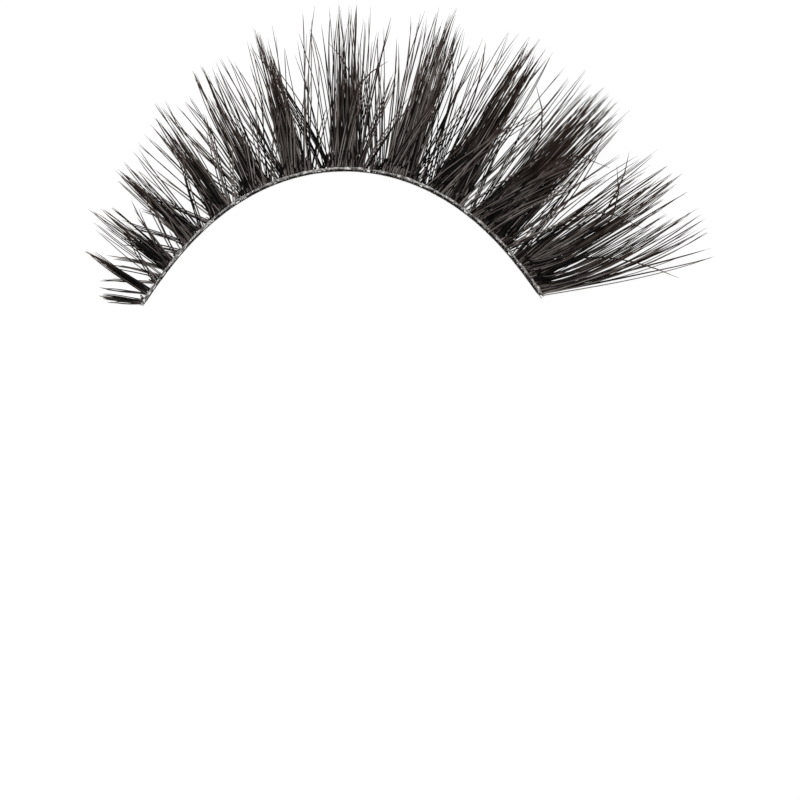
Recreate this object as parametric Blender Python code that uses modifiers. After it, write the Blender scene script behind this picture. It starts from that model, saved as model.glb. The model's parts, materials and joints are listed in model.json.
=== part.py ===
"""A false eyelash strip for one upper eyelid, lying on its band with the tips curled up.

A thin clear band follows the lid's arc. Thirteen clusters of lashes stand on its outer edge, short
at the inner corner of the eye and long in the fan at the outer corner. Each cluster is a root knot
with tapered locks fused to it: main locks that make its spike, and side locks that lean over the
neighbours on a layer above or below them.

+X points to the outer corner, +Y away from the eye and +Z up. The origin is under the middle of the
strip's bounding box.
"""

import math
import random

import bmesh
import bpy
from mathutils import Vector

MM = 0.001

# The inner edge of the band: its radius at the crown of the arc, and what it has turned by halfway.
CROWN_RADIUS = 12.41 * MM
HALF_LENGTH = 16.5 * MM
HALF_TURN = 0.981
FLATTENING = (HALF_LENGTH / CROWN_RADIUS - HALF_TURN) / HALF_LENGTH**3
STRAIGHT_FROM = -16.77 * MM
STRAIGHT_TO = 16.30 * MM
CROWN_PLACE = Vector((-3.67 * MM, -1.25 * MM, 0.0))
ARC_STEPS = 48

# The clear band.
BAND_START = -17.0 * MM
BAND_END = 16.4 * MM
BAND_WIDTH = 0.38 * MM
BAND_HEIGHT = 0.28 * MM
BAND_TIP_WIDTH = 0.16 * MM
BAND_TIP_LENGTH = 0.5 * MM
BAND_EDGE = 0.05 * MM
BAND_STEPS = 32

# The root knots, which run along the band's outer edge.
KNOT_RADIUS = 0.19 * MM
KNOT_OUT = 0.62 * MM
KNOT_Z = 0.25 * MM
KNOT_STEP = 0.7 * MM
KNOT_END_SHARE = 0.6

# The locks. A middle lock sits above the low ones and under the high ones, so crossing locks stay
# clear. A lock leans more and thins faster towards its tip.
LOCK_START = 0.55 * MM
LAYER_REACHED = 1.1 * MM
MAIN_RADIUS = 0.15 * MM
SIDE_RADIUS = 0.08 * MM
TIP_SHARE = 0.2
LOCK_STATIONS = 5
LEAN_POWER = 1.2
TAPER_POWER = 1.6
REACH_CHANCE = (-0.25, 0.15)
ROOT_Z = {"low": 0.19 * MM, "middle": 0.25 * MM, "high": 0.32 * MM}
LAYER_Z = {"low": 0.08 * MM, "middle": 0.38 * MM, "high": 0.68 * MM}

# The curl: flat as far as the belly, then an arc that lifts the tips.
BELLY = 3.0 * MM
CURL_RADIUS = 11.0 * MM
SEED = 7

# One row for each cluster, in millimetres along the band from its crown and out from its inner edge:
# number, knot from and to, foot of the main locks from and to, tips from and to,
# reach at the first lock, in the middle and at the last, and how many main locks.
CLUSTERS = (
    (1, -16.90, -16.32, -16.72, -16.50, -18.00, -17.40, 3.0, 3.3, 3.5, 3),
    (2, -16.18, -15.62, -16.02, -15.80, -16.12, -15.86, 5.2, 5.4, 5.0, 2),
    (3, -15.48, -14.45, -15.05, -14.80, -15.20, -14.90, 3.0, 3.4, 3.2, 2),
    (4, -14.30, -12.90, -14.12, -13.40, -14.40, -13.25, 6.2, 6.9, 5.6, 5),
    (5, -12.76, -10.15, -11.60, -10.85, -11.80, -10.55, 6.9, 7.2, 7.1, 6),
    (6, -10.01, -7.55, -9.30, -8.20, -9.25, -7.85, 7.6, 8.5, 8.4, 6),
    (7, -7.41, -4.75, -6.40, -5.30, -6.50, -5.25, 8.6, 9.3, 9.0, 6),
    (8, -4.61, -1.75, -3.80, -2.50, -3.80, -2.50, 9.6, 10.4, 10.1, 6),
    (9, -1.61, 1.45, -0.80, 0.90, -0.70, 0.80, 11.0, 11.5, 11.0, 7),
    (10, 1.59, 5.15, 2.85, 4.40, 3.00, 4.30, 11.5, 12.0, 11.3, 7),
    (11, 5.29, 8.65, 6.05, 7.95, 6.10, 7.80, 12.0, 12.5, 12.3, 8),
    (12, 8.79, 12.70, 9.40, 11.90, 9.40, 11.50, 12.2, 12.6, 12.2, 10),
    (13, 12.84, 16.15, 13.35, 15.95, 13.70, 20.10, 12.2, 12.5, 11.2, 12),
)

# One row for each side lock: the cluster it is fused to, its layer, its foot, its tip and its reach.
SIDE_LOCKS = (
    (1, "low", -16.75, -18.30, 2.5),
    (3, "low", -15.20, -16.75, 3.3),
    (3, "low", -14.75, -15.80, 3.9),
    (3, "high", -15.20, -14.00, 3.8),
    (4, "low", -13.95, -14.75, 5.6),
    (4, "high", -13.10, -12.00, 4.4),
    (5, "low", -12.55, -14.40, 4.0),
    (5, "low", -11.90, -13.00, 5.2),
    (5, "high", -10.40, -9.00, 5.0),
    (5, "high", -10.90, -10.15, 7.1),
    (6, "low", -9.80, -10.75, 5.0),
    (6, "low", -9.40, -10.00, 7.4),
    (6, "high", -7.80, -6.70, 5.6),
    (7, "low", -7.10, -8.30, 5.4),
    (7, "low", -6.60, -7.20, 8.0),
    (7, "high", -5.00, -3.80, 6.0),
    (8, "low", -4.35, -5.20, 6.2),
    (8, "low", -4.00, -4.60, 9.0),
    (8, "high", -2.05, -1.15, 10.8),
    (9, "low", -1.35, -2.75, 8.8),
    (9, "low", -0.90, -1.35, 9.8),
    (9, "high", 1.15, 1.90, 7.6),
    (10, "low", 1.85, 1.05, 7.2),
    (10, "low", 2.60, 1.60, 10.4),
    (10, "low", 3.10, 2.55, 11.2),
    (10, "high", 4.70, 5.60, 8.6),
    (11, "low", 5.60, 4.90, 10.4),
    (11, "high", 8.20, 8.90, 11.9),
    (11, "high", 8.40, 9.60, 7.0),
    (12, "low", 9.10, 8.20, 8.8),
    (12, "high", 12.30, 13.30, 9.6),
    (13, "low", 13.15, 11.60, 10.8),
    (13, "low", 13.50, 12.60, 10.4),
    (13, "high", 15.90, 19.60, 8.4),
)

# Colour, roughness and metallic value of the two materials.
LASH_FIBRE = (0.018, 0.015, 0.014, 1.0), 0.42, 0.0
CLEAR_BAND = (0.62, 0.62, 0.60, 1.0), 0.22, 0.0


def heading(along):
    """How far the band has turned at a length along it, in radians from +X towards -Y."""
    along = min(max(along, STRAIGHT_FROM), STRAIGHT_TO)
    return along / CROWN_RADIUS - FLATTENING * along**3


def place(along, out, z):
    """The point that lies so far along the band from its crown, and so far out from its inner edge."""
    step = along / ARC_STEPS
    point = CROWN_PLACE.copy()
    for k in range(ARC_STEPS):
        turn = heading((k + 0.5) * step)
        point += Vector((math.cos(turn), -math.sin(turn), 0.0)) * step
    turn = heading(along)
    return point + Vector((math.sin(turn), math.cos(turn), 0.0)) * out + Vector((0.0, 0.0, z))


def mix(first, last, share):
    return first + (last - first) * share


def smooth_share(value, start, end):
    """0 before start, 1 past end, with a smooth rise between them."""
    share = min(max((value - start) / (end - start), 0.0), 1.0)
    return share * share * (3.0 - 2.0 * share)


def make_material(name, finish):
    colour, roughness, metallic = finish
    material = bpy.data.materials.new(name)
    material.use_nodes = True
    shader = material.node_tree.nodes["Principled BSDF"]
    shader.inputs["Base Color"].default_value = colour
    shader.inputs["Roughness"].default_value = roughness
    shader.inputs["Metallic"].default_value = metallic
    material.diffuse_color = colour
    return material


def mesh_from(obj, name):
    """A plain mesh object of what the object looks like once its modifiers and bevel are worked out."""
    graph = bpy.context.evaluated_depsgraph_get()
    mesh = bpy.data.meshes.new_from_object(obj.evaluated_get(graph), depsgraph=graph)
    shape = bmesh.new()
    shape.from_mesh(mesh)
    bmesh.ops.remove_doubles(shape, verts=shape.verts, dist=0.0005 * MM)
    bmesh.ops.recalc_face_normals(shape, faces=shape.faces)
    shape.to_mesh(mesh)
    shape.free()
    made = bpy.data.objects.new(name, mesh)
    made.matrix_world = obj.matrix_world
    return made


def tube(name, points, radii, depth, sides_level):
    """A tapered tube with closed ends through the points. Level 1 has 6 sides, and level 2 has 8."""
    data = bpy.data.curves.new(name, "CURVE")
    data.dimensions = "3D"
    data.bevel_depth = depth
    data.bevel_resolution = sides_level
    data.use_fill_caps = True
    line = data.splines.new("POLY")
    line.points.add(len(points) - 1)
    for spot, point, radius in zip(line.points, points, radii):
        spot.co = (*point, 1.0)
        spot.radius = radius
    curve = bpy.data.objects.new(name, data)
    bpy.context.scene.collection.objects.link(curve)
    bpy.context.view_layer.update()
    made = mesh_from(curve, name)
    bpy.data.objects.remove(curve)
    return made


def knot(name, start, end):
    """The bundle of fibre butts along the band that a cluster's locks grow from."""
    steps = max(2, round((end - start) / KNOT_STEP))
    shares = [k / steps for k in range(steps + 1)]
    points = [place(mix(start, end, share), KNOT_OUT, KNOT_Z) for share in shares]
    radii = [KNOT_END_SHARE if share in (0.0, 1.0) else 1.0 for share in shares]
    return tube(name, points, radii, KNOT_RADIUS, 2)


def lock(name, foot, tip, reach, layer, radius):
    """A tapered lock that leaves the knot, settles on its layer and curls up to its tip."""
    points = []
    radii = []
    for k in range(LOCK_STATIONS + 1):
        share = k / LOCK_STATIONS
        out = mix(LOCK_START, reach, share)
        along = mix(foot, tip, share**LEAN_POWER)
        base = mix(ROOT_Z[layer], LAYER_Z[layer], smooth_share(out, LOCK_START, LAYER_REACHED))
        curl = max(out - BELLY, 0.0) ** 2 / (2.0 * CURL_RADIUS)
        points.append(place(along, out, base + curl))
        radii.append(mix(1.0, TIP_SHARE, share**TAPER_POWER))
    return tube(name, points, radii, radius, 1)


def fuse(name, core, locks, material):
    """Join the locks to the core as one closed body, and leave only that body."""
    helpers = bpy.data.collections.new(name + "_locks")
    bpy.context.scene.collection.children.link(helpers)
    for piece in locks:
        helpers.objects.link(piece)
    bpy.context.scene.collection.objects.link(core)
    join = core.modifiers.new("join_locks", "BOOLEAN")
    join.operation = "UNION"
    join.operand_type = "COLLECTION"
    join.collection = helpers
    join.solver = "EXACT"
    bpy.context.view_layer.update()
    body = mesh_from(core, name)
    body.data.materials.clear()
    body.data.materials.append(material)
    body.data.shade_smooth()
    for piece in (core, *locks):
        bpy.data.objects.remove(piece)
    bpy.data.collections.remove(helpers)
    return body


def cluster(row, chance, material):
    """One lash cluster: its knot, its main locks and its side locks."""
    number, knot_from, knot_to, foot_from, foot_to, tip_from, tip_to, first, middle, last, count = row
    name = f"lash_cluster_{number:02d}"
    locks = []
    for k in range(count):
        share = k / (count - 1)
        arch = (middle - mix(first, last, 0.5)) * 4.0 * share * (1.0 - share)
        reach = mix(first, last, share) + arch + chance.uniform(*REACH_CHANCE)
        foot = mix(foot_from, foot_to, share)
        tip = mix(tip_from, tip_to, share)
        locks.append(lock(f"{name}_main_{k}", foot * MM, tip * MM, reach * MM, "middle", MAIN_RADIUS))
    for owner, layer, foot, tip, reach in SIDE_LOCKS:
        if owner == number:
            locks.append(lock(f"{name}_side", foot * MM, tip * MM, reach * MM, layer, SIDE_RADIUS))
    core = knot(name + "_knot", knot_from * MM, knot_to * MM)
    return fuse(name, core, locks, material)


def band(material):
    """The clear band: a flat outline that narrows at both ends, with its edges taken off."""
    inner = []
    outer = []
    for k in range(BAND_STEPS + 1):
        along = mix(BAND_START, BAND_END, k / BAND_STEPS)
        inset = min(along - BAND_START, BAND_END - along)
        width = mix(BAND_TIP_WIDTH, BAND_WIDTH, smooth_share(inset, -BAND_TIP_LENGTH, BAND_TIP_LENGTH))
        inner.append(place(along, 0.5 * (BAND_WIDTH - width), 0.0))
        outer.append(place(along, 0.5 * (BAND_WIDTH + width), 0.0))
    outline = inner + outer[::-1]
    data = bpy.data.curves.new("band", "CURVE")
    data.dimensions = "2D"
    data.fill_mode = "BOTH"
    data.extrude = 0.5 * BAND_HEIGHT
    line = data.splines.new("POLY")
    line.points.add(len(outline) - 1)
    for spot, point in zip(line.points, outline):
        spot.co = (point.x, point.y, 0.0, 1.0)
    line.use_cyclic_u = True
    data.materials.append(material)
    obj = bpy.data.objects.new("band", data)
    obj.location.z = 0.5 * BAND_HEIGHT
    weld = obj.modifiers.new("weld", "WELD")
    weld.merge_threshold = 0.001 * MM
    edge = obj.modifiers.new("edge", "BEVEL")
    edge.width = BAND_EDGE
    edge.segments = 1
    return obj


def build():
    for obj in list(bpy.data.objects):
        bpy.data.objects.remove(obj)
    strip = bpy.data.collections.new("false_eyelash_strip")
    bpy.context.scene.collection.children.link(strip)
    fibre = make_material("lash_fibre", LASH_FIBRE)
    clear = make_material("clear_band", CLEAR_BAND)
    chance = random.Random(SEED)
    strip.objects.link(band(clear))
    for row in CLUSTERS:
        strip.objects.link(cluster(row, chance, fibre))


build()
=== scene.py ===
# %% [markdown]
# # A false eyelash strip
# A lash strip is two things: a clear plastic thread that takes the curve of the eyelid, and some three
# thousand dark fibres that stand on it in spiky clusters. The solids of the model already hold the
# arc, the clusters and the curl. This lesson dresses them with real fibres, one cluster at a time.

# %% Load the model
import json
import math

import bpy
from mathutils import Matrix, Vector


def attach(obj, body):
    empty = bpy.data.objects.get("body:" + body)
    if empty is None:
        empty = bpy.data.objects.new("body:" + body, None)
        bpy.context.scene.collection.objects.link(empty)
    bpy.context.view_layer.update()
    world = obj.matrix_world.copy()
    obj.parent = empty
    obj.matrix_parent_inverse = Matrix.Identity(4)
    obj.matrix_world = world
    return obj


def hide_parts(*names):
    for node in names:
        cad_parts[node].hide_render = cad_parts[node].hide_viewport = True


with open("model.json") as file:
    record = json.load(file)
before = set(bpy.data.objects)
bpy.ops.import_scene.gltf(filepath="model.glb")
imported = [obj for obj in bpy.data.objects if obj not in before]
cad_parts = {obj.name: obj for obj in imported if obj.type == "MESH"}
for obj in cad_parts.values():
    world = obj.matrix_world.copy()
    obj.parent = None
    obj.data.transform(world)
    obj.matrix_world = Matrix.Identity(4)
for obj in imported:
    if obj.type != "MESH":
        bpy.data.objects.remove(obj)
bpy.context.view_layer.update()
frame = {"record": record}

MM = 0.001


def in_mm(lengths):
    return [round(length / MM, 2) for length in lengths]


# %% [markdown]
# ## The arc of the lid
# Every fibre is placed by two lengths: how far along the band it stands, counted from the crown of
# the arc, and how far out from the band's inner edge it reaches. The band turns a little less
# towards its ends, so its heading is a cubic in that length. Past its ends the chart runs on
# straight, which is how the outer fan leaves the last of the band.

# %% The arc as a formula
CROWN_RADIUS = 12.41 * MM
HALF_LENGTH = 16.5 * MM
HALF_TURN = 0.981
FLATTENING = (HALF_LENGTH / CROWN_RADIUS - HALF_TURN) / HALF_LENGTH**3
STRAIGHT_FROM = -16.77 * MM
STRAIGHT_TO = 16.30 * MM
BAND_WIDTH = 0.38 * MM

glue_face = next(m for m in frame["record"]["mounts"] if m["name"] == "glue_face")
crown = Vector(glue_face["pos_m"]) - Vector((0.0, 0.5 * BAND_WIDTH, 0.0))


def heading(along):
    """How far the band has turned, in radians from +X towards -Y."""
    along = min(max(along, STRAIGHT_FROM), STRAIGHT_TO)
    return along / CROWN_RADIUS - FLATTENING * along**3


def edge_points(start, end, step):
    """Points on the inner edge of the band, from start to end."""
    def walk(limit, stride):
        point = crown.copy()
        found = []
        for k in range(round(abs(limit) / step)):
            turn = heading((k + 0.5) * stride)
            point = point + Vector((math.cos(turn), -math.sin(turn), 0.0)) * stride
            found.append(point)
        return found
    return walk(start, -step)[::-1] + [crown.copy()] + walk(end, step)


print("crown of the arc in mm:", in_mm(crown))

# %% The guide curve
GUIDE_START = -22.0 * MM
GUIDE_END = 24.0 * MM
GUIDE_STEP = 0.25 * MM

guide_data = bpy.data.curves.new("lid_arc", "CURVE")
guide_data.dimensions = "3D"
guide_line = guide_data.splines.new("POLY")
guide_points = edge_points(GUIDE_START, GUIDE_END, GUIDE_STEP)
guide_line.points.add(len(guide_points) - 1)
for spot, point in zip(guide_line.points, guide_points):
    spot.co = (*point, 1.0)
guide = bpy.data.objects.new("lid_arc", guide_data)
bpy.context.scene.collection.objects.link(guide)
print("guide points:", len(guide_points))

# %% [markdown]
# ## Helpers for node trees
# Geometry Nodes trees are long when each node takes four lines. This small class adds a node, sets
# what it is given, and links what is already a socket, so that a tree reads like a formula.

# %% A builder for node trees
class Tree:
    """One node tree, with a method for each kind of step."""

    def __init__(self, name):
        self.group = bpy.data.node_groups.new(name, "GeometryNodeTree")
        self.ports = {}

    def port(self, name, socket_type, default=None):
        """A named input of the tree, which a modifier sets by its identifier."""
        made = self.group.interface.new_socket(name=name, in_out="INPUT", socket_type=socket_type)
        if default is not None:
            made.default_value = default
        self.ports[name] = made.identifier

    def add(self, kind, inputs=None, **settings):
        node = self.group.nodes.new(kind)
        for key, value in settings.items():
            setattr(node, key, value)
        for key, value in (inputs or {}).items():
            open_sockets = [s for s in node.inputs if s.enabled and key in (s.name, s.identifier)]
            self.feed(open_sockets[0], value)
        return node

    def feed(self, socket, value):
        if isinstance(value, bpy.types.NodeSocket):
            self.group.links.new(value, socket)
        else:
            socket.default_value = value

    def math(self, operation, first, second=0.0, third=0.0):
        node = self.group.nodes.new("ShaderNodeMath")
        node.operation = operation
        for socket, value in zip(node.inputs, (first, second, third)):
            self.feed(socket, value)
        return node.outputs[0]

    def mix(self, first, last, share):
        return self.math("MULTIPLY_ADD", self.math("SUBTRACT", last, first), share, first)

    def chance(self, low, high, number, seed):
        """A random number for each point, with its own number so that no two draws agree."""
        node = self.add("FunctionNodeRandomValue", data_type="FLOAT")
        ready = [s for s in node.inputs if s.enabled]
        self.feed(ready[0], low)
        self.feed(ready[1], high)
        self.feed(ready[-1], self.math("ADD", seed, float(number)))
        return next(s for s in node.outputs if s.enabled)

    def column(self, name):
        """What a point's own attribute holds."""
        node = self.add("GeometryNodeInputNamedAttribute", {"Name": name}, data_type="FLOAT")
        return next(s for s in node.outputs if s.enabled and s.name == "Attribute")

    def keep(self, geometry, name, value):
        """Store a value for each point under a name."""
        node = self.add(
            "GeometryNodeStoreNamedAttribute",
            {"Geometry": geometry, "Name": name, "Value": value},
            data_type="FLOAT",
            domain="POINT",
        )
        return node.outputs[0]

    def outward(self, way):
        """The level direction at right angles to the arc, away from the eye."""
        parts = self.add("ShaderNodeSeparateXYZ", {"Vector": way}).outputs
        minus_y = self.math("MULTIPLY", parts["Y"], -1.0)
        return self.add("ShaderNodeCombineXYZ", {"X": minus_y, "Y": parts["X"]}).outputs[0]

    def scaled(self, vector, length):
        node = self.add("ShaderNodeVectorMath", {"Vector": vector, "Scale": length}, operation="SCALE")
        return node.outputs[0]

    def joined(self, first, second):
        node = self.add("ShaderNodeVectorMath", operation="ADD")
        self.feed(node.inputs[0], first)
        self.feed(node.inputs[1], second)
        return node.outputs[0]

    def lifted(self, vector, height):
        return self.joined(vector, self.add("ShaderNodeCombineXYZ", {"Z": height}).outputs[0])

    def close(self, geometry, material):
        """The end of each tree: smooth faces, real meshes and the material."""
        smooth = self.add("GeometryNodeSetShadeSmooth", {"Geometry": geometry})
        real = self.add("GeometryNodeRealizeInstances", {"Geometry": smooth.outputs[0]})
        dyed = self.add("GeometryNodeSetMaterial", {"Geometry": real.outputs[0], "Material": material})
        self.feed(self.add("NodeGroupOutput").inputs[0], dyed.outputs[0])


def plain_mesh(obj, name):
    """The result of the object's modifiers as a mesh of its own. The object is then removed."""
    bpy.context.view_layer.update()
    graph = bpy.context.evaluated_depsgraph_get()
    mesh = bpy.data.meshes.new_from_object(obj.evaluated_get(graph), depsgraph=graph)
    mesh.name = name
    bpy.data.objects.remove(obj)
    made = bpy.data.objects.new(name, mesh)
    bpy.context.scene.collection.objects.link(made)
    return made


def give_nodes(obj, tree, values):
    """Put the tree on the object and set its inputs by their identifiers."""
    step = obj.modifiers.new(tree.group.name, "NODES")
    step.node_group = tree.group
    for name, value in values.items():
        step[tree.ports[name]] = value


# %% [markdown]
# ## The fibre material
# Lash fibre is a fine polyester bristle, dyed black all through. It isn't one black: each fibre took
# the dye a little differently, some brown, some grey. A share of the fibres also carry a painted
# highlight, a pale grey in their colour for the shine of light along them, most of all in the top layer.
# The thin tips are painted browner, as light gets into them, and a slow noise is painted sheen that
# lightens and darkens each fibre's colour as it goes. Two numbers travel with each fibre for this:
# tint, drawn once a fibre, and browning, which grows from root to tip of a long fibre.
# Painted textures could do the same, but these numbers follow each fibre by themselves.

# %% Dyed fibre with painted highlights
def new_material(name):
    material = bpy.data.materials.new(name)
    material.use_nodes = True
    return material, material.node_tree, material.node_tree.nodes["Principled BSDF"]


def socket(sockets, name):
    """The socket of that name which the node's settings leave in use."""
    return next(s for s in sockets if s.enabled and s.name == name)


def colour_ramp(tree, stops, source):
    ramp = tree.nodes.new("ShaderNodeValToRGB")
    elements = ramp.color_ramp.elements
    for element, (place, colour) in zip(elements, (stops[0], stops[-1])):
        element.position = place
        element.color = (*colour, 1.0)
    for place, colour in stops[1:-1]:
        elements.new(place).color = (*colour, 1.0)
    tree.links.new(source, ramp.inputs["Fac"])
    return ramp.outputs["Color"]


def remap(tree, source, low, high, new_low, new_high):
    step = tree.nodes.new("ShaderNodeMapRange")
    for name, value in (("From Min", low), ("From Max", high), ("To Min", new_low), ("To Max", new_high)):
        step.inputs[name].default_value = value
    tree.links.new(source, step.inputs["Value"])
    return step.outputs["Result"]


def blend_colours(tree, first, second, share):
    step = tree.nodes.new("ShaderNodeMix")
    step.data_type = "RGBA"
    for name, value in (("Factor", share), ("A", first), ("B", second)):
        spot = socket(step.inputs, name)
        if isinstance(value, bpy.types.NodeSocket):
            tree.links.new(value, spot)
        else:
            spot.default_value = value
    return socket(step.outputs, "Result")


def attribute(tree, name):
    node = tree.nodes.new("ShaderNodeAttribute")
    node.attribute_name = name
    return node.outputs["Fac"]


def object_noise(tree, scale, detail=2.0):
    place = tree.nodes.new("ShaderNodeTexCoord")
    noise = tree.nodes.new("ShaderNodeTexNoise")
    noise.inputs["Scale"].default_value = scale
    noise.inputs["Detail"].default_value = detail
    tree.links.new(place.outputs["Object"], noise.inputs["Vector"])
    return noise.outputs["Fac"]


# The tint's colours: near-black to dark brown is the fibres' own dye, and the pale greys, which only highlit
# fibres reach, are painted highlight.
FIBRE_DYES_AND_HIGHLIGHTS = (
    (0.00, (0.0008, 0.0006, 0.0005)),
    (0.42, (0.0030, 0.0022, 0.0020)),
    (0.60, (0.0150, 0.0118, 0.0107)),
    (0.80, (0.0680, 0.0570, 0.0530)),
    (1.00, (0.1600, 0.1410, 0.1330)),
)
FIBRE_TIP = (0.068, 0.043, 0.033, 1.0)
PAINTED_SHEEN_PER_METRE = 620.0
GRAIN_PER_METRE = 2600.0
BROWN_FROM = 0.50
BROWN_TO = 0.95
BROWN_SHARE = 0.60


def make_fibre_material():
    material, tree, shader = new_material("lash_fibre_with_painted_highlights")
    # Painted sheen: a slow noise that lightens and darkens the colour along each fibre.
    painted_sheen = remap(tree, object_noise(tree, PAINTED_SHEEN_PER_METRE, 1.0), 0.35, 0.65, -0.09, 0.07)
    tint_with_painted_sheen = tree.nodes.new("ShaderNodeMath")
    tint_with_painted_sheen.operation = "ADD"
    tree.links.new(attribute(tree, "tint"), tint_with_painted_sheen.inputs[0])
    tree.links.new(painted_sheen, tint_with_painted_sheen.inputs[1])
    # Dark tints give the dye, pale tints the painted highlight.
    dye_and_highlight = colour_ramp(tree, FIBRE_DYES_AND_HIGHLIGHTS, tint_with_painted_sheen.outputs[0])
    # Towards the tip of a long fibre the colour is painted browner, for the light that gets into it.
    near_tip = remap(tree, attribute(tree, "browning"), BROWN_FROM, BROWN_TO, 0.0, BROWN_SHARE)
    colour = blend_colours(tree, dye_and_highlight, FIBRE_TIP, near_tip)
    tree.links.new(colour, shader.inputs["Base Color"])
    grain = remap(tree, object_noise(tree, GRAIN_PER_METRE), 0.0, 1.0, 0.34, 0.58)
    tree.links.new(grain, shader.inputs["Roughness"])
    shader.inputs["Specular IOR Level"].default_value = 0.08
    return material


fibre_material = make_fibre_material()
print("material:", fibre_material.name)

# %% [markdown]
# ## One tree for all the fibres
# A chart of locks goes in as loose points, one for each row, whose attributes are the row's columns.
# The tree copies each point once for each fibre, draws that fibre's own foot, tip and reach near the
# row's, and lays a line along the two lengths of the chart: out from the band, and along it. Sample
# Curve turns the length along the band into a place and a direction on the arc. A particle system
# could scatter such hair too, but its hairs can't be told to cross the way that these do.

# %% The chart's columns
# The light column is the share of a row's fibres that carry a painted highlight.
COLUMNS = (
    "foot_a", "foot_b", "tip_a", "tip_b", "reach_a", "reach_b", "ease", "shuffle", "count", "level",
    "level_spread", "light", "weight",
)
FIBRE_SIDES = 5
FIBRE_POINTS = 10
FIBRE_RADIUS = 0.037 * MM
BELLY = 3.0 * MM
CURL_RADIUS = 11.0 * MM
ROOT_Z = 0.17 * MM
LONG_FIBRE = 5.0 * MM
FOOT_OUT = (0.05 * MM, 0.22 * MM)
SETTLING = (0.3 * MM, 1.5 * MM)
BOW_SHARE = 0.024
RIPPLE = 0.03 * MM
RIPPLE_TURN = 7.0
DARK_TINTS = (0.0, 0.56)
PALE_HIGHLIGHT_TINTS = (0.64, 1.0)
GIRTHS = (0.9, 1.15)
PALE_GIRTH = 0.08
TIP_SLIMMING = 0.38
POINT_STEEPNESS = 8.0
POINT_GIRTH = 0.25


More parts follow.
